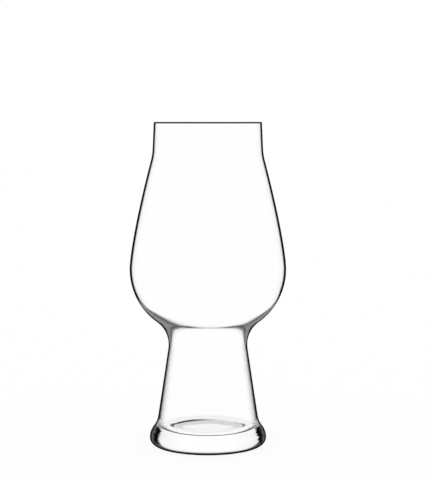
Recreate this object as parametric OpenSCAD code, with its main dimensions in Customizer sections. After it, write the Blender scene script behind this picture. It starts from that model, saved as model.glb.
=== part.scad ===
// Tall beer glass with a tulip bowl, a hollow stem that fills with the drink, and a thick solid base.
// The axis of the glass is Z and the origin is the centre of the circle that it stands on.

/* [Overall] */
// Height from the table to the rim
height = 185; // [178:0.5:200]

/* [Bowl] */
// Outside diameter at the rim
rim_d = 61.4; // [56:0.1:66]
// Height of the nearly straight neck under the rim
neck_h = 18.5; // [14:0.5:24]
// Outside diameter where the neck meets the flank
shoulder_d = 63; // [58:0.1:68]
// Length of the soft corner to each side of the shoulder
shoulder_blend = 3.5; // [1.5:0.5:6]
// Lean of the flank just below the shoulder, in degrees from upright
flank_angle = 14.8; // [10:0.1:20]
// Pull of that lean on the flank's curve
flank_pull = 34; // [20:1:42]
// Pull of the upright belly on the flank's curve
belly_pull = 7; // [3:0.5:14]
// Outside diameter at the belly, the widest part
belly_d = 89.4; // [84:0.1:96]
// Height of the belly above the table
belly_z = 101.2; // [95:0.1:108]
// Outside radius of the round bowl below the belly
bowl_r = 37; // [33:0.5:41]
// Thickness of the bowl's wall and of the rim
bowl_wall = 1.2; // [0.8:0.1:2]
// Glass that the wall gains from the belly down to the throat
bowl_gain = 0.4; // [0.2:0.1:2]

/* [Waist] */
// Outside diameter at the waist, the narrowest part
waist_d = 45.2; // [42:0.1:50]
// Outside radius of the hollow curve between the bowl and the stem
waist_r = 16.8; // [13:0.1:21]
// Radius of the rounded inner edge where the bowl opens into the stem
throat_r = 3; // [2:0.5:6]

/* [Stem] */
// Flare of the stem, in degrees from upright
stem_angle = 8.6; // [5:0.1:12]
// Thickness of the stem's wall
stem_wall = 1.4; // [1:0.1:2.5]

/* [Base] */
// How far the foot stands out past the stem's line
foot_flare = 3; // [2:0.1:5]
// Radius of the foot's lower edge
foot_edge_r = 4; // [2.5:0.5:5]
// Radius of the foot's upper shoulder
foot_top_r = 9.5; // [6:0.5:12]
// Radius of the hollow curve between the stem and the foot
foot_fillet_r = 14; // [8:0.5:20]
// Thickness of the solid glass under the stem's hollow
floor_h = 8.5; // [8:0.1:13]
// Radius of the inner corner round the floor
floor_fillet_r = 5.2; // [2:0.1:5.5]
// Depth of the shallow dish in the floor
floor_dish = 0.6; // [0.2:0.1:1.5]
// Width of the flat ring that the glass stands on
ring_w = 6; // [4:0.5:9]
// Rise of the shallow hollow under the base
punt_h = 0.4; // [0.3:0.1:2]

/* [Hidden] */
$fn = 180;

// Largest turn between two points of an arc, and the steps in a free curve
arc_step = 3;
curve_steps = 32;

// Rule: profiles are points [radius, height]. Curves leave out their first point, so that they chain.
function arc(c, r, a0, a1) =
    let (n = ceil(abs(a1 - a0) / arc_step))
    [for (i = [1 : n]) let (a = a0 + (a1 - a0) * i / n) c + r * [cos(a), sin(a)]];
function corner(a, b, c) =
    let (n = curve_steps / 4)
    [for (i = [1 : n]) let (t = i / n) (1 - t) * (1 - t) * a + 2 * t * (1 - t) * b + t * t * c];
function curve(a, b, c, d) =
    [for (i = [1 : curve_steps])
        let (t = i / curve_steps, s = 1 - t)
        s * s * s * a + 3 * s * s * t * b + 3 * s * t * t * c + t * t * t * d];
function dome(r, z, rise) =
    let (n = curve_steps / 4)
    [for (i = [1 : n]) let (t = i / n) [r * (1 - t), z + rise * (1 - (1 - t) * (1 - t))]];
function reverse(list) = [for (i = [len(list) - 1 : -1 : 0]) list[i]];
// Centre of the round of radius r that touches a cone line from outside and a circle (c, r_c) from outside
function round_centre(p, dir, out, r, c, r_c) =
    let (o = p + r * out, w = o - c, b = w * dir, reach = r + r_c)
    o + dir * (-b - sqrt(b * b - w * w + reach * reach));
function angle_of(v) = atan2(v.y, v.x);

// Stem line: down and out along the flare, with its outward side
stem_dir = [sin(stem_angle), -cos(stem_angle)];
stem_out = [cos(stem_angle), sin(stem_angle)];

// Outer bowl and waist: two circles that touch, and the waist's height follows from them
belly_r = belly_d / 2;
bowl_c = [belly_r - bowl_r, belly_z];
waist_x = waist_d / 2 + waist_r;
waist_z = belly_z - sqrt(pow(bowl_r + waist_r, 2) - pow(waist_x - bowl_c.x, 2));
waist_c = [waist_x, waist_z];
bowl_turn = angle_of(waist_c - bowl_c);
stem_top = waist_c - waist_r * stem_out;

// Inner skins: the stem's hollow is a cone, and the bowl's centre sits higher by the gain in its wall
hollow_top = stem_top - stem_wall * stem_out;
bowl_in_r = bowl_r - bowl_wall;
bowl_in_c = bowl_c + [0, bowl_gain];
throat_c = round_centre(hollow_top, -stem_dir, stem_out, throat_r, bowl_in_c, bowl_in_r);
throat_turn = angle_of(throat_c - bowl_in_c);

// Foot: shoulder, hollow curve and lower edge
foot_r = hollow_x(foot_edge_r) + stem_wall / stem_out.x + foot_flare;
foot_c = [foot_r - foot_top_r, foot_edge_r];
fillet_c = round_centre(stem_top, stem_dir, stem_out, foot_fillet_r, foot_c, foot_top_r);
fillet_turn = angle_of(fillet_c - foot_c);
ring_r = foot_r - foot_edge_r;
seat_z = fillet_c.y - foot_fillet_r * stem_out.y;

// Floor of the hollow: some straight wall is left between its corner and the seat
floor_gap = 0.6;
floor_round = min(floor_fillet_r, (seat_z - floor_h - floor_gap) / (1 + stem_out.y));
floor_c_z = floor_h + floor_round;
floor_c = [hollow_x(floor_c_z) - floor_round / stem_out.x, floor_c_z];

// Radius of the stem's hollow at a height
function hollow_x(z) = hollow_top.x + (hollow_top.y - z) * tan(stem_angle);

// One skin of the bowl from the rim's level z down to its belly, set in from the outside by inset
function bowl_upper(inset, z, bottom_z) =
    let (rim = [rim_d / 2 - inset, z],
         bend = [shoulder_d / 2 - inset, height - neck_h],
         up = (rim - bend) / norm(rim - bend),
         down = [sin(flank_angle), -cos(flank_angle)],
         neck_end = bend + shoulder_blend * up,
         flank_start = bend + shoulder_blend * down,
         belly = [belly_r - inset, bottom_z])
    concat([rim, neck_end],
           corner(neck_end, bend, flank_start),
           curve(flank_start, flank_start + flank_pull * down, belly + [0, belly_pull], belly));

function bowl_profile() =
    let (lip = bowl_wall / 2,
         lip_z = height - lip,
         outer = concat(bowl_upper(0, lip_z, belly_z),
                        arc(bowl_c, bowl_r, 0, bowl_turn),
                        arc(waist_c, waist_r, bowl_turn + 180, 180)),
         inner = concat(bowl_upper(bowl_wall, lip_z, bowl_in_c.y),
                        arc(bowl_in_c, bowl_in_r, 0, throat_turn),
                        arc(throat_c, throat_r, throat_turn + 180, 180 + stem_angle),
                        [[hollow_x(waist_z), waist_z]]),
         top = arc([rim_d / 2 - lip, lip_z], lip, 180, 0))
    concat(outer, reverse(inner), [for (i = [0 : len(top) - 2]) top[i]]);

function stem_profile() =
    concat([[waist_d / 2, waist_z]],
           arc(waist_c, waist_r, 180, 180 + stem_angle),
           [fillet_c - foot_fillet_r * stem_out],
           [[hollow_x(seat_z), seat_z]],
           [[hollow_x(waist_z), waist_z]]);

function base_profile() =
    let (floor_edge = [floor_c.x, floor_h])
    concat([fillet_c - foot_fillet_r * stem_out],
           arc(fillet_c, foot_fillet_r, 180 + stem_angle, 180 + fillet_turn),
           arc(foot_c, foot_top_r, fillet_turn, 0),
           arc([ring_r, foot_edge_r], foot_edge_r, 0, -90),
           [[ring_r - ring_w, 0]],
           dome(ring_r - ring_w, 0, punt_h),
           reverse(concat([floor_edge], dome(floor_edge.x, floor_h, -floor_dish))),
           arc(floor_c, floor_round, -90, stem_angle),
           [[hollow_x(seat_z), seat_z]]);

// Blown bowl with its neck and fire-polished rim, down to the waist
module bowl() {
    color("aliceblue", 0.45)
        rotate_extrude()
            polygon(bowl_profile());
}

// Hollow stem, fused to the bowl at the waist and to the base at its seat
module stem() {
    color("lightcyan", 0.45)
        rotate_extrude()
            polygon(stem_profile());
}

// Solid base with its flared foot, dished floor and standing ring
module base() {
    color("azure", 0.45)
        rotate_extrude()
            polygon(base_profile());
}

bowl();
stem();
base();
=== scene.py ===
import math
import bpy
import bmesh
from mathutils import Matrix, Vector
from mathutils.geometry import interpolate_bezier


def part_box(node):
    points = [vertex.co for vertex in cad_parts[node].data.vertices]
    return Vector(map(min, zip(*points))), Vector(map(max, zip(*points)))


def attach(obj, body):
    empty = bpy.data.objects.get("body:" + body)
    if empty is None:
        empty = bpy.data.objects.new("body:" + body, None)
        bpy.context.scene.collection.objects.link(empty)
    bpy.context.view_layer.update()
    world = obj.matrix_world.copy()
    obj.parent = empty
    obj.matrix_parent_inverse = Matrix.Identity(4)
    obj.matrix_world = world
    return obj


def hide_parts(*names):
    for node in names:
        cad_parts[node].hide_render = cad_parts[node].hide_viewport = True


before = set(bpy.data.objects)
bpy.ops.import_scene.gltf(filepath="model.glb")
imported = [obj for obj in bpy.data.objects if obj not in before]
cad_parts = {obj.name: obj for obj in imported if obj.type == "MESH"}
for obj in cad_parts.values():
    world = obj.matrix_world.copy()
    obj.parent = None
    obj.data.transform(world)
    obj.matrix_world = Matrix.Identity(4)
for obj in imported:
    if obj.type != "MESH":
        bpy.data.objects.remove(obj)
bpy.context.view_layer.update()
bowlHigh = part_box("bowl")[1]
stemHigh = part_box("stem")[1]
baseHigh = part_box("base")[1]
mm = 0.001
rimTop = bowlHigh.z
waistZ = stemHigh.z  # the bowl is fused to the stem here
seatZ = baseHigh.z  # the stem is fused to the base here

spinSteps = 192  # facets round the axis
arcStep = math.radians(4)  # largest turn between two points of an arc
seamStep = math.radians(1.2)  # the same beside a fused seam, so that the seam doesn't show
sharpTurn = math.radians(25)  # edges that turn more stay sharp
samePoint = 1e-6  # points nearer than this are one
sameLevel = 1e-7


# A pen draws the half profile in the XZ plane, one edge chain per piece
def startPen(bm, radius, height):
    return bm.verts.new((radius, 0, height))


def lineTo(bm, pen, radius, height):
    end = bm.verts.new((radius, 0, height))
    bm.edges.new((pen, end))
    return end


def arcTo(bm, pen, centre, turn, step=arcStep):
    steps = max(2, math.ceil(abs(turn) / step))
    spun = bmesh.ops.spin(bm, geom=[pen], cent=(centre[0], 0, centre[1]), axis=(0, -1, 0),
                          angle=turn, steps=steps)
    return next(v for v in spun["geom_last"] if isinstance(v, bmesh.types.BMVert))


def curveTo(bm, pen, handleA, handleB, end, steps):
    points = interpolate_bezier(pen.co, handleA, handleB, end, steps + 1)
    for p in points[1:]:
        pen = lineTo(bm, pen, p.x, p.z)
    return pen


def dishTo(bm, pen, edge, height, rise, steps=12):
    # shallow dish from the pen, at its edge, to the axis, level in the middle
    middle = height + rise
    return curveTo(bm, pen, Vector((edge * 2 / 3, 0, height + rise * 2 / 3)),
                   Vector((edge / 3, 0, middle)), Vector((0, 0, middle)), steps)


def spunPiece(name, bm, materials, seamHeights):
    bmesh.ops.spin(bm, geom=bm.verts[:] + bm.edges[:], cent=(0, 0, 0), axis=(0, 0, 1),
                   angle=math.tau, steps=spinSteps, use_merge=True)
    bmesh.ops.remove_doubles(bm, verts=bm.verts, dist=samePoint)
    bmesh.ops.dissolve_degenerate(bm, edges=bm.edges, dist=sameLevel)
    bmesh.ops.recalc_face_normals(bm, faces=bm.faces)
    for face in bm.faces:
        face.smooth = True
        height = face.verts[0].co.z
        level = all(abs(v.co.z - height) < sameLevel for v in face.verts)
        if level and any(abs(height - z) < samePoint for z in seamHeights):
            face.material_index = 1
    for edge in bm.edges:
        edge.smooth = edge.calc_face_angle(0) < sharpTurn
    mesh = bpy.data.meshes.new(name)
    bm.to_mesh(mesh)
    bm.free()
    piece = bpy.data.objects.new(name, mesh)
    bpy.context.collection.objects.link(piece)
    for m in materials:
        mesh.materials.append(m)
    return piece


def touchingRound(start, along, out, radius, circle, circleRadius):
    # centre of a round that lies on one side of the stem's line and outside a circle, and touches both
    o = start + radius * out
    w = o - circle
    b = w.dot(along)
    reach = radius + circleRadius
    return o + along * (-b - math.sqrt(b * b - w.dot(w) + reach * reach))


def plug(tree, socket, value):
    if isinstance(value, (int, float)):
        socket.default_value = value
    else:
        tree.links.new(value, socket)


def mathNode(tree, operation, *values):
    node = tree.nodes.new("ShaderNodeMath")
    node.operation = operation
    for socket, value in zip(node.inputs, values):
        plug(tree, socket, value)
    return node.outputs[0]


def blendNode(tree, first, second, share):
    gap = mathNode(tree, "SUBTRACT", second, first)
    return mathNode(tree, "MULTIPLY_ADD", gap, share, first)


def stepNode(tree, value, start, end, before, after):
    node = tree.nodes.new("ShaderNodeMapRange")
    node.interpolation_type = "SMOOTHSTEP"
    for socket, item in zip(node.inputs, (value, start, end, before, after)):
        plug(tree, socket, item)
    return node.outputs[0]


def bandNode(tree, value, rise, full, fall, end):
    return mathNode(tree, "MULTIPLY", stepNode(tree, value, rise, full, 0.0, 1.0),
                    stepNode(tree, value, fall, end, 1.0, 0.0))


def rampNode(tree, factor, stops):
    node = tree.nodes.new("ShaderNodeValToRGB")
    marks = node.color_ramp.elements
    while len(marks) < len(stops):
        marks.new(0.5)
    for mark, (place, tone) in zip(marks, sorted(stops)):
        mark.position = place
        mark.color = (*tone, 1) if isinstance(tone, tuple) else (tone, tone, tone, 1)
    tree.links.new(factor, node.inputs["Fac"])
    return node.outputs["Color"]


def noiseNode(tree, place, stretch):
    mapping = tree.nodes.new("ShaderNodeMapping")
    mapping.inputs["Scale"].default_value = stretch
    tree.links.new(place, mapping.inputs["Vector"])
    noise = tree.nodes.new("ShaderNodeTexNoise")
    noise.inputs["Scale"].default_value = 1
    noise.inputs["Detail"].default_value = 2
    tree.links.new(mapping.outputs[0], noise.inputs["Vector"])
    return noise.outputs[0]


# Clear glass. A spot's face is 1 when face on and 0 at the outline, where the glass is painted dark: painted
# shade.
# A piece's shade gives how clear a spot looks at first sight, and how clear it is for any light that passes;
# its dark parts are painted shade
glass = dict(
    refraction=1.52,
    # painted shade: the tone of the glass where it is painted dark
    dark=(0.005, 0.0038, 0.0034),
    clear=(1.0, 1.0, 1.0),
    inside=[(0.0, 0.12), (0.08, 0.3), (0.18, 0.8), (0.35, 1.0)],
    skinTurn=0.5 * mm,  # the looks of the outer and the inner skin meet within this
    waveStretch=(70, 70, 28), wave=0.012,
    topTilt=2, topFace=(0.12, 0.3), topClear=0.13,
)


def eitherSkin(tree, spot, outside):
    # painted shade: the inner skin, seen through the mouth, is painted dark only where it is almost edge on
    return blendNode(tree, rampNode(tree, spot["face"], glass["inside"]), outside, spot["outer"])


def facingNode(tree, normal):
    # walls that a look from above grazes are kept clear of the painted dark outline: their normals, tilted
    # up, meet that look
    facing, topFacing = (tree.nodes.new("ShaderNodeLayerWeight") for _ in range(2))
    added, tilted = (tree.nodes.new("ShaderNodeVectorMath") for _ in range(2))
    added.operation = "ADD"
    tilted.operation = "NORMALIZE"
    added.inputs[1].default_value = (0, 0, glass["topTilt"])
    tree.links.new(normal, added.inputs[0])
    tree.links.new(added.outputs[0], tilted.inputs[0])
    tree.links.new(tilted.outputs[0], topFacing.inputs["Normal"])
    lift = stepNode(tree, topFacing.outputs["Facing"], *glass["topFace"], glass["topClear"], 0.0)
    return mathNode(tree, "ADD", mathNode(tree, "SUBTRACT", 1.0, facing.outputs["Facing"]), lift)


def clearGlass(name, shade):
    material = bpy.data.materials.new(name)
    material.use_nodes = True
    tree = material.node_tree
    shader = tree.nodes["Principled BSDF"]
    shader.inputs["Roughness"].default_value = 0
    shader.inputs["IOR"].default_value = glass["refraction"]
    shader.inputs["Specular IOR Level"].default_value = 0
    coordinates = tree.nodes.new("ShaderNodeTexCoord")
    place, normal = coordinates.outputs["Object"], coordinates.outputs["Normal"]
    split, turned = (tree.nodes.new("ShaderNodeSeparateXYZ") for _ in range(2))
    tree.links.new(place, split.inputs[0])
    tree.links.new(normal, turned.inputs[0])
    x, y, height = (split.outputs[axis] for axis in "XYZ")
    outwards = mathNode(tree, "ADD", mathNode(tree, "MULTIPLY", x, turned.outputs["X"]),
                        mathNode(tree, "MULTIPLY", y, turned.outputs["Y"]))
    radius = mathNode(tree, "SQRT", mathNode(tree, "ADD", mathNode(tree, "POWER", x, 2.0),
                                             mathNode(tree, "POWER", y, 2.0)))
    path = tree.nodes.new("ShaderNodeLightPath")
    spot = dict(
        place=place, x=x, y=y, height=height, radius=radius,
        side=mathNode(tree, "DIVIDE", x, radius),  # -1 on the left, 1 on the right
        face=facingNode(tree, normal),
        outer=stepNode(tree, outwards, -glass["skinTurn"], glass["skinTurn"], 0.0, 1.0),
        within=tree.nodes.new("ShaderNodeNewGeometry").outputs["Backfacing"],
        passed=path.outputs["Transmission Depth"],
        mirrored=path.outputs["Glossy Depth"],
    )
    seen, always = shade(tree, spot)
    clear = mathNode(tree, "MULTIPLY", blendNode(tree, 1.0, seen, path.outputs["Is Camera Ray"]), always)
    # faint waves of blown glass
    wave = mathNode(tree, "MULTIPLY", noiseNode(tree, place, glass["waveStretch"]), glass["wave"])
    tone = mathNode(tree, "MULTIPLY", clear, mathNode(tree, "SUBTRACT", 1.0, wave))
    colour = rampNode(tree, tone, [(0.0, glass["dark"]), (1.0, glass["clear"])])
    tree.links.new(colour, shader.inputs["Base Color"])
    tree.links.new(clear, shader.inputs["Transmission Weight"])
    return material


def fusedSeam():
    material = bpy.data.materials.new("fusedSeam")  # inside the glass, so nothing shows there
    material.use_nodes = True
    nodes, links = material.node_tree.nodes, material.node_tree.links
    nodes.remove(nodes["Principled BSDF"])
    clear = nodes.new("ShaderNodeBsdfTransparent")
    links.new(clear.outputs[0], nodes["Material Output"].inputs["Surface"])
    return material


# Stem: its flare also places the waist, the hollow and the foot
stem = dict(
    waistRadius=22.6 * mm,
    waistCurve=16.8 * mm,
    lean=math.radians(8.6),
    wall=1.4 * mm,
    # painted shade: dark outline of the stem, by face
    edge=[(0.0, 0.0), (0.23, 0.0), (0.275, 0.06), (0.335, 0.34), (0.39, 0.56), (0.44, 0.69), (0.48, 0.83),
          (0.52, 0.92), (0.58, 1.0)],
)
lean = stem["lean"]
stemOut = Vector((math.cos(lean), math.sin(lean)))
stemDown = Vector((math.sin(lean), -math.cos(lean)))
waistCentre = Vector((stem["waistRadius"] + stem["waistCurve"], waistZ))
stemTop = waistCentre - stem["waistCurve"] * stemOut
hollowTop = stemTop - stem["wall"] * stemOut


def hollowRadius(height):
    return hollowTop.x + (hollowTop.y - height) * math.tan(lean)


def makeStem(materials):
    bm = bmesh.new()
    start = startPen(bm, stem["waistRadius"], waistZ)
    pen = arcTo(bm, start, waistCentre, lean, seamStep)
    outerFoot = stemTop + stemDown * ((stemTop.y - seatZ) / math.cos(lean))
    pen = lineTo(bm, pen, outerFoot.x, seatZ)
    pen = lineTo(bm, pen, hollowRadius(seatZ), seatZ)
    pen = lineTo(bm, pen, hollowRadius(waistZ), waistZ)
    bm.edges.new((pen, start))
    return spunPiece("glassStem", bm, materials, [waistZ, seatZ])


def stemEdge(tree, face):
    return rampNode(tree, face, stem["edge"])


def shadeStem(tree, spot):
    return eitherSkin(tree, spot, stemEdge(tree, spot["face"])), 1.0


# Bowl with its neck, rim and waist
bowl = dict(
    rimRadius=30.7 * mm,
    neckHeight=18.5 * mm,
    shoulderRadius=31.5 * mm, shoulderBlend=3.5 * mm, shoulderSteps=10,
    flankLean=math.radians(14.8), flankPull=34 * mm, bellyPull=7 * mm, flankSteps=40,
    bellyHeight=101.2 * mm,
    bowlRadius=37 * mm,
    wall=1.2 * mm,
    bottomGain=0.4 * mm,
    throatRound=3 * mm,
    # painted shade: dark outline, and a dark line round the rim
    edge=[(0.0, 0.0), (0.23, 0.0), (0.25, 0.06), (0.275, 0.5), (0.31, 0.74), (0.35, 0.84), (0.4, 0.94),
          (0.5, 1.0)],
    neckRadius=31 * mm, widthPower=0.25,  # keep the line much the same width all the way
    rimLine=(1.04 * mm, 0.69 * mm), rimClear=0.0,
    # painted shade: grey at the waist, by height and by how far it reaches in from the outline
    waistHeights=(56 * mm, 84 * mm),
    waistReach=[(0.0, 0.385), (0.1, 0.385), (0.35, 0.445), (0.5, 0.435), (0.6, 0.40), (0.72, 0.40),
                (0.82, 0.35), (0.87, 0.30), (0.92, 0.27)],
    waistTop=[(0.0, 0.0), (0.18, 0.0), (0.205, 0.06), (0.23, 0.17), (0.26, 0.2), (0.36, 0.19), (0.43, 0.1),
              (0.46, 0.11), (0.5, 0.3), (0.55, 0.75), (0.63, 1.0)],
    waistLow=[(0.0, 0.0), (0.24, 0.0), (0.265, 0.06), (0.29, 0.16), (0.33, 0.2), (0.39, 0.18), (0.43, 0.11),
              (0.46, 0.11), (0.5, 0.3), (0.55, 0.75), (0.63, 1.0)],
    waistLine=(70.8 * mm, 72 * mm), waistWiden=(1.06, 0.94), waistTurn=(68 * mm, 71.2 * mm),
    waistShare=(80 * mm, 87 * mm), waistFade=3.5 * mm,
    narrowingRight=0.2, narrowingSide=(0.0, 0.8), narrowingHeights=(70.5 * mm, 73 * mm, 84 * mm, 92 * mm),
    # painted shade: a short dark line at the waist
    waistShadeLine=[(0.0, 0.0), (0.46, 0.0), (0.515, 0.1), (0.538, 0.45), (0.552, 1.0), (0.577, 1.0), (0.592, 0.4),
            (0.607, 0.0)],
    waistShadeLineFace=(0.46, 0.515), waistShadeLineShare=(0.44, 0.54), waistShadeLineDark=0.85,
)


def drawBowlSkin(bm, pen, inset, bellyZ):
    bend = Vector((bowl["shoulderRadius"] - inset, 0, rimTop - bowl["neckHeight"]))
    up = (pen.co - bend).normalized()
    down = Vector((math.sin(bowl["flankLean"]), 0, -math.cos(bowl["flankLean"])))
    neckEnd = bend + bowl["shoulderBlend"] * up
    flankStart = bend + bowl["shoulderBlend"] * down
    belly = Vector((bowlHigh.x - inset, 0, bellyZ))
    pen = lineTo(bm, pen, neckEnd.x, neckEnd.z)
    pen = curveTo(bm, pen, neckEnd.lerp(bend, 2 / 3), flankStart.lerp(bend, 2 / 3), flankStart,
                  bowl["shoulderSteps"])
    return curveTo(bm, pen, flankStart + bowl["flankPull"] * down, belly + Vector((0, 0, bowl["bellyPull"])),
                   belly, bowl["flankSteps"])


def makeBowl(materials):
    bm = bmesh.new()
    lip = bowl["wall"] / 2
    lipCentre = (bowl["rimRadius"] - lip, rimTop - lip)
    outerCentre = Vector((bowlHigh.x - bowl["bowlRadius"], bowl["bellyHeight"]))
    toWaist = waistCentre - outerCentre
    outerTurn = math.atan2(toWaist.y, toWaist.x)
    start = startPen(bm, lipCentre[0] + lip, lipCentre[1])
    pen = drawBowlSkin(bm, start, 0, bowl["bellyHeight"])
    pen = arcTo(bm, pen, outerCentre, outerTurn)
    pen = arcTo(bm, pen, waistCentre, -outerTurn, seamStep)
    # inner skin, from the rim down to the same level
    innerStart = arcTo(bm, start, lipCentre, math.pi)
    innerRadius = bowl["bowlRadius"] - bowl["wall"]
    innerCentre = outerCentre + Vector((0, bowl["bottomGain"]))
    throat = touchingRound(hollowTop, -stemDown, stemOut, bowl["throatRound"], innerCentre, innerRadius)
    toThroat = throat - innerCentre
    innerTurn = math.atan2(toThroat.y, toThroat.x)
    inner = drawBowlSkin(bm, innerStart, bowl["wall"], innerCentre.y)
    inner = arcTo(bm, inner, innerCentre, innerTurn)
    inner = arcTo(bm, inner, throat, lean - innerTurn, seamStep)
    inner = lineTo(bm, inner, hollowRadius(waistZ), waistZ)
    bm.edges.new((pen, inner))
    return spunPiece("glassBowl", bm, materials, [waistZ])


def shadeBowl(tree, spot):
    low, high = bowl["waistHeights"]
    height = spot["height"]
    level = mathNode(tree, "DIVIDE", mathNode(tree, "SUBTRACT", height, low), high - low)
    # painted shade: the dark outline at the bottom of the bowl is a little narrower on the right
    outlineNarrowing = mathNode(tree, "MULTIPLY", bandNode(tree, height, *bowl["narrowingHeights"]),
                    stepNode(tree, spot["side"], *bowl["narrowingSide"], 0.0, bowl["narrowingRight"]))
    face = mathNode(tree, "MULTIPLY", spot["face"], mathNode(tree, "ADD", outlineNarrowing, 1.0))
    # share of the painted grey at the waist, which ends at about a half
    over = stepNode(tree, height, *bowl["waistLine"], 0.0, 1.0)
    widened = mathNode(tree, "MULTIPLY", face, blendNode(tree, *bowl["waistWiden"], over))
    reach = rampNode(tree, level, bowl["waistReach"])
    share = mathNode(tree, "DIVIDE", widened, mathNode(tree, "MULTIPLY", reach, 2.0))
    waist = blendNode(tree, rampNode(tree, share, bowl["waistLow"]), rampNode(tree, share, bowl["waistTop"]),
                      stepNode(tree, height, *bowl["waistTurn"], 0.0, 1.0))
    grown = mathNode(tree, "POWER", mathNode(tree, "DIVIDE", spot["radius"], bowl["neckRadius"]),
                     bowl["widthPower"])
    edge = rampNode(tree, mathNode(tree, "MULTIPLY", face, grown), bowl["edge"])
    clear = blendNode(tree, waist, edge, stepNode(tree, height, *bowl["waistShare"], 0.0, 1.0))
    clear = blendNode(tree, stemEdge(tree, face), clear,
                      stepNode(tree, height, waistZ, waistZ + bowl["waistFade"], 0.0, 1.0))
    # painted shade: the short dark line at the waist darkens colour and transmission
    waistShadeLine = mathNode(tree, "MULTIPLY", rampNode(tree, level, bowl["waistShadeLine"]),
                      stepNode(tree, face, *bowl["waistShadeLineFace"], bowl["waistShadeLineDark"], 0.0))
    waistShadeLine = mathNode(tree, "MULTIPLY", waistShadeLine, stepNode(tree, share, *bowl["waistShadeLineShare"], 0.0, 1.0))
    clear = mathNode(tree, "MULTIPLY", clear, mathNode(tree, "SUBTRACT", 1.0, waistShadeLine))
    # painted shade: the rim is painted dark from this depth up
    rimStart, rimFull = (rimTop - depth for depth in bowl["rimLine"])
    rim = stepNode(tree, height, rimStart, rimFull, 1.0, bowl["rimClear"])
    return mathNode(tree, "MULTIPLY", eitherSkin(tree, spot, clear), rim), 1.0


# Base with its foot, standing ring and the floor of the hollow
base = dict(
    edgeRadius=4 * mm,
    topRadius=9.5 * mm,
    filletRadius=14 * mm,
    floorHeight=8.5 * mm,
    floorFillet=5.2 * mm,
    floorDish=0.6 * mm,
    ringWidth=6 * mm,
    puntRise=0.4 * mm,
    # painted shade on the outer skin, from the dark line at the foot up: foot, jagged dark band, top
    foot=[(0.0, 0.0), (0.22, 0.0), (0.26, 0.02), (0.35, 0.05), (0.42, 0.06), (0.48, 0.09), (0.52, 0.17),
          (0.55, 0.38), (0.58, 0.65), (0.61, 0.8), (0.66, 0.86), (0.75, 0.92), (0.9, 1.0)],
    band=[(0.0, 0.0), (0.2, 0.01), (0.25, 0.055), (0.31, 0.085), (0.36, 0.02), (0.4, 0.0), (0.48, 0.0),
          (0.505, 0.2), (0.535, 0.65), (0.56, 0.77), (0.62, 0.87), (0.75, 0.92), (0.9, 1.0)],
    top=[(0.0, 0.0), (0.18, 0.01), (0.22, 0.12), (0.275, 0.42), (0.33, 0.57), (0.45, 0.66), (0.5, 0.74),
         (0.56, 0.92), (0.65, 1.0)],
    footLine=(1.5 * mm, 2.8 * mm), footClear=0.02,
    bandFrom=(3 * mm, 4.5 * mm), topFrom=(11.5 * mm, 12.6 * mm), seatFade=2 * mm,
    jagStretch=(180, 180, 900), jag=0.2,
    bandLeft=-0.025, bandNarrow=(9.3 * mm, 11 * mm), bandTop=0.05,
    # painted shade on the floor of the hollow, by how far out from its edge it is
    creaseShade=(-1.5 * mm, -0.95 * mm, 0.95 * mm, 1.5 * mm), creaseOut=1.05 * mm,
    creaseOval=2.2 * mm, ovalPower=6.0,
    creaseFiner=(0.0, 8 * mm, 1.0, 1.6), creaseSteep=(0.5, 0.8, 1.0, 0.25),
    creaseTurn=[(0.0, 0.2), (0.17, 0.2), (0.22, 0.9), (0.31, 0.9), (0.37, 0.45), (0.41, 0.22), (0.45, 0.28),
                (0.49, 0.42), (0.53, 0.8), (0.56, 1.0), (0.76, 1.0), (0.82, 0.3), (0.88, 0.2), (1.0, 0.2)],
    floorPaintedShade=(4.0 * mm, 4.8 * mm), floorPaintedShadeDark=0.1,
    edgeOnShade=(-10 * mm, -6 * mm, 0.4 * mm, 1.2 * mm), edgeOnShadeFace=(0.19, 0.235, 0.3, 0.42), edgeOnShadeDark=0.37,
    # painted shade: dark outline of the hollow
    hollow=[(0.0, 1.0), (0.33, 0.98), (0.46, 0.5), (0.55, 0.0)], hollowSide=(0.5, 1.0, 1.0, 0.65),
    paintedShadeFrom=5 * mm,
)
floorCentreZ = base["floorHeight"] + base["floorFillet"]
floorEdge = hollowRadius(floorCentreZ) - base["floorFillet"] / math.cos(lean)


def makeBase(materials):
    bm = bmesh.new()
    footRadius = baseHigh.x
    footCentre = Vector((footRadius - base["topRadius"], base["edgeRadius"]))
    filletCentre = touchingRound(stemTop, stemDown, stemOut, base["filletRadius"],
                                 footCentre, base["topRadius"])
    toFillet = filletCentre - footCentre
    filletTurn = math.atan2(toFillet.y, toFillet.x)
    ringRadius = footRadius - base["edgeRadius"]
    ringInner = ringRadius - base["ringWidth"]
    seat = filletCentre - base["filletRadius"] * stemOut
    start = startPen(bm, seat.x, seatZ)
    pen = arcTo(bm, start, filletCentre, filletTurn - lean, seamStep)
    pen = arcTo(bm, pen, footCentre, -filletTurn)
    pen = arcTo(bm, pen, (ringRadius, base["edgeRadius"]), -math.pi / 2)
    pen = lineTo(bm, pen, ringInner, 0)
    dishTo(bm, pen, ringInner, 0, base["puntRise"])
    # floor of the hollow, from the seat down to the axis
    inner = startPen(bm, hollowRadius(seatZ), seatZ)
    bm.edges.new((start, inner))
    inner = lineTo(bm, inner, floorEdge + base["floorFillet"] * math.cos(lean),
                   floorCentreZ + base["floorFillet"] * math.sin(lean))
    inner = arcTo(bm, inner, (floorEdge, floorCentreZ), -lean - math.pi / 2)
    dishTo(bm, inner, floorEdge, base["floorHeight"], -base["floorDish"])
    return spunPiece("glassBase", bm, materials, [seatZ])


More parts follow.
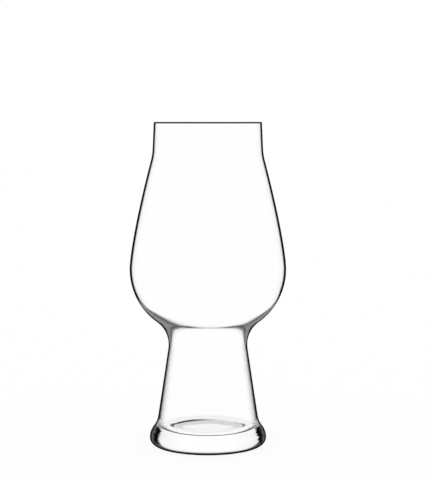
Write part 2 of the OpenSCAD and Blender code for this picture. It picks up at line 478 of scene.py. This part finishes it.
def shadeOuterBase(tree, spot):
    face, height = spot["face"], spot["height"]
    noise = mathNode(tree, "SUBTRACT", noiseNode(tree, spot["place"], base["jagStretch"]), 0.5)
    jagged = mathNode(tree, "MULTIPLY_ADD", noise, base["jag"], face)
    # painted shade: the dark band reaches further in on the left and is narrower towards its top
    for shift in (stepNode(tree, spot["side"], -1.0, 0.0, base["bandLeft"], 0.0),
                  stepNode(tree, height, *base["bandNarrow"], 0.0, base["bandTop"])):
        jagged = mathNode(tree, "ADD", jagged, shift)
    clear = rampNode(tree, face, base["foot"])
    for upper, start, end in ((rampNode(tree, jagged, base["band"]), *base["bandFrom"]),
                              (rampNode(tree, face, base["top"]), *base["topFrom"]),
                              (stemEdge(tree, face), seatZ - base["seatFade"], seatZ)):
        clear = blendNode(tree, clear, upper, stepNode(tree, height, start, end, 0.0, 1.0))
    # painted shade: a dark line round the bottom of the foot
    footLine = stepNode(tree, height, *base["footLine"], base["footClear"], 1.0)
    return mathNode(tree, "MULTIPLY", clear, footLine)


def shadeHollowFloor(tree, spot, aside):
    # painted shade: a dark, slightly oval line where the floor turns up, darker on one side
    face = spot["face"]
    off = mathNode(tree, "SUBTRACT", spot["radius"], floorEdge)
    turn = mathNode(tree, "MULTIPLY_ADD", mathNode(tree, "ARCTAN2", spot["y"], spot["x"]), 1 / math.tau, 0.25)
    turn = mathNode(tree, "FRACT", turn)  # 0 in front, a quarter on the right
    oval = mathNode(tree, "MULTIPLY_ADD", mathNode(tree, "POWER", aside, base["ovalPower"]),
                    -base["creaseOval"], base["creaseOut"])
    away = mathNode(tree, "MULTIPLY", mathNode(tree, "SUBTRACT", off, oval),
                    stepNode(tree, spot["x"], *base["creaseFiner"]))
    creaseShadeStrength = mathNode(tree, "MULTIPLY", rampNode(tree, turn, base["creaseTurn"]),
                    stepNode(tree, face, *base["creaseSteep"]))
    creaseShade = mathNode(tree, "MULTIPLY", bandNode(tree, away, *base["creaseShade"]), creaseShadeStrength)
    # painted shade: a faint grey over the floor, and more grey where the floor is almost edge on
    floorPaintedShade = stepNode(tree, off, *base["floorPaintedShade"], base["floorPaintedShadeDark"], 0.0)
    edgeOnShade = mathNode(tree, "MULTIPLY", bandNode(tree, off, *base["edgeOnShade"]),
                    bandNode(tree, face, *base["edgeOnShadeFace"]))
    edgeOnShade = mathNode(tree, "MULTIPLY", edgeOnShade, base["edgeOnShadeDark"])
    floor = mathNode(tree, "MAXIMUM", mathNode(tree, "MAXIMUM", creaseShade, floorPaintedShade), edgeOnShade)
    return mathNode(tree, "MULTIPLY", floor, mathNode(tree, "SUBTRACT", 1.0, spot["within"]))


def shadeBase(tree, spot):
    aside = mathNode(tree, "ABSOLUTE", spot["side"])
    floor = shadeHollowFloor(tree, spot, aside)
    # painted shade: dark outline of the hollow, seen through the outer skin
    first = mathNode(tree, "COMPARE", spot["passed"], 1.0, 0.1)
    slant = mathNode(tree, "MULTIPLY", spot["face"], stepNode(tree, aside, *base["hollowSide"]))
    outline = mathNode(tree, "MULTIPLY", rampNode(tree, slant, base["hollow"]), first)
    dark = mathNode(tree, "MAXIMUM", floor, outline)
    for limit in (mathNode(tree, "GREATER_THAN", spot["height"], base["paintedShadeFrom"]),
                  mathNode(tree, "LESS_THAN", spot["mirrored"], 0.5)):
        dark = mathNode(tree, "MULTIPLY", dark, limit)
    return eitherSkin(tree, spot, shadeOuterBase(tree, spot)), mathNode(tree, "SUBTRACT", 1.0, dark)


seam = fusedSeam()
pieces = dict(bowl=(makeBowl, shadeBowl), stem=(makeStem, shadeStem), base=(makeBase, shadeBase))
for node, (makePiece, shade) in pieces.items():
    piece = makePiece([clearGlass(node + "Glass", shade), seam])
    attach(piece, "root")
    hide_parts(node)
    print(piece.name, len(piece.data.polygons), "faces")


# Camera at the rim's height, tilted down
view = dict(distance=0.8, focalPixels=1406, imageHeight=480, rimAbove=118.05, axisLeft=8.12, sensor=36)
camera = bpy.data.cameras.new("camera")
camera.sensor_width = view["sensor"]
camera.lens = view["focalPixels"] / view["imageHeight"] * view["sensor"]
cameraObject = bpy.data.objects.new("camera", camera)
bpy.context.collection.objects.link(cameraObject)
cameraObject.location = (0, -view["distance"], rimTop)
tilt = math.atan2(view["rimAbove"], view["focalPixels"])
yaw = math.atan2(view["axisLeft"], view["focalPixels"])
cameraObject.rotation_euler = (math.pi / 2 - tilt, 0, -yaw)
bpy.context.scene.camera = cameraObject
bpy.context.scene.view_settings.view_transform = "Standard"


# White table and sky
studio = dict(floorRadius=6, floorSides=96, floorDrop=0.2 * mm, floorTone=(0.97, 0.97, 0.97, 1),
              shadowShare=0.1, sky=(1, 1, 1, 1))


def paleFloor():
    material = bpy.data.materials.new("paleFloor")
    material.use_nodes = True
    tree = material.node_tree
    shader = tree.nodes["Principled BSDF"]
    shader.inputs["Base Color"].default_value = studio["floorTone"]
    shader.inputs["Roughness"].default_value = 1
    shader.inputs["Specular IOR Level"].default_value = 0
    white = tree.nodes.new("ShaderNodeEmission")
    path = tree.nodes.new("ShaderNodeLightPath")
    seenInGlass = mathNode(tree, "MAXIMUM", path.outputs["Is Glossy Ray"],
                           path.outputs["Is Transmission Ray"])
    seenPlain = mathNode(tree, "MULTIPLY", path.outputs["Is Camera Ray"], 1 - studio["shadowShare"])
    mix = tree.nodes.new("ShaderNodeMixShader")
    tree.links.new(mathNode(tree, "MAXIMUM", seenInGlass, seenPlain), mix.inputs["Fac"])
    tree.links.new(shader.outputs[0], mix.inputs[1])
    tree.links.new(white.outputs[0], mix.inputs[2])
    tree.links.new(mix.outputs[0], tree.nodes["Material Output"].inputs["Surface"])
    return material


def makeFloor():
    bm = bmesh.new()
    bmesh.ops.create_circle(bm, cap_ends=True, segments=studio["floorSides"], radius=studio["floorRadius"])
    bmesh.ops.translate(bm, verts=bm.verts, vec=(0, 0, -studio["floorDrop"]))
    mesh = bpy.data.meshes.new("floor")
    bm.to_mesh(mesh)
    bm.free()
    floor = bpy.data.objects.new("floor", mesh)
    bpy.context.collection.objects.link(floor)
    mesh.materials.append(paleFloor())


def makeWorld():
    world = bpy.data.worlds.new("studio")
    world.use_nodes = True
    world.node_tree.nodes["Background"].inputs["Color"].default_value = studio["sky"]
    bpy.context.scene.world = world


makeFloor()
makeWorld()
bounces = bpy.context.scene.cycles
bounces.max_bounces = 160  # light runs a long way inside the walls
bounces.glossy_bounces = 120
bounces.transmission_bounces = 120
print("camera, floor and sky set")
